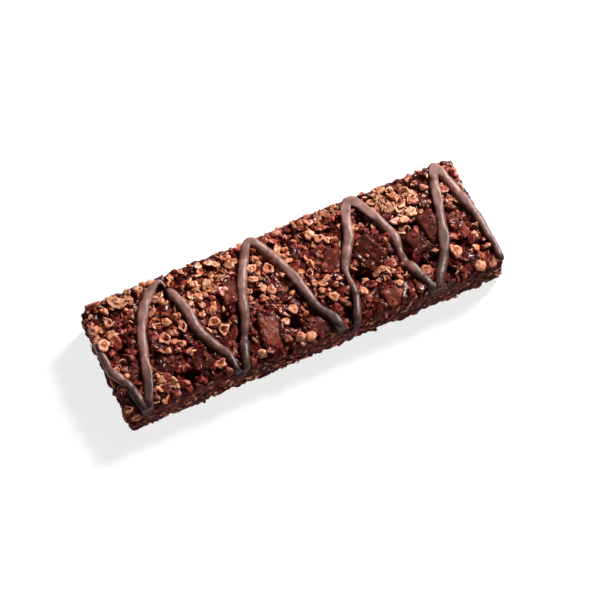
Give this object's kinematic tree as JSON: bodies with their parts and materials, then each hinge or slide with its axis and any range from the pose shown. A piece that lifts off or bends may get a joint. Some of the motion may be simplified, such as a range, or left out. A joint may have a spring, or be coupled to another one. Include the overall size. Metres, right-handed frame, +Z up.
{
  "type": "granola bar",
  "caption": "Oblong chewy granola bar of pressed oat flakes and puffed grains, set with dark chocolate chunks and crossed by a zigzag chocolate drizzle.",
  "frame": {"origin": "middle of the flat underside that the bar rests on", "axes": "+X along the bar's length, +Y across it, +Z up through its thickness"},
  "size_m": [0.108, 0.034, 0.0127],
  "materials": {
    "granola": "rough oats and puffed grains in dark cocoa syrup, with satin milk chocolate drizzle",
    "dark_chocolate": "dark chocolate, satin, with worn edges"
  },
  "bodies": {
    "root": {"bar": "granola", "chocolate_chunk_01": "dark_chocolate", "chocolate_chunk_02": "dark_chocolate", "chocolate_chunk_03": "dark_chocolate", "chocolate_chunk_04": "dark_chocolate", "chocolate_chunk_05": "dark_chocolate", "chocolate_chunk_06": "dark_chocolate", "chocolate_chunk_07": "dark_chocolate", "chocolate_chunk_08": "dark_chocolate", "chocolate_chunk_09": "dark_chocolate", "chocolate_chunk_10": "dark_chocolate", "chocolate_chunk_11": "dark_chocolate", "chocolate_chunk_12": "dark_chocolate", "chocolate_chunk_13": "dark_chocolate"}
  },
  "joints": []
}
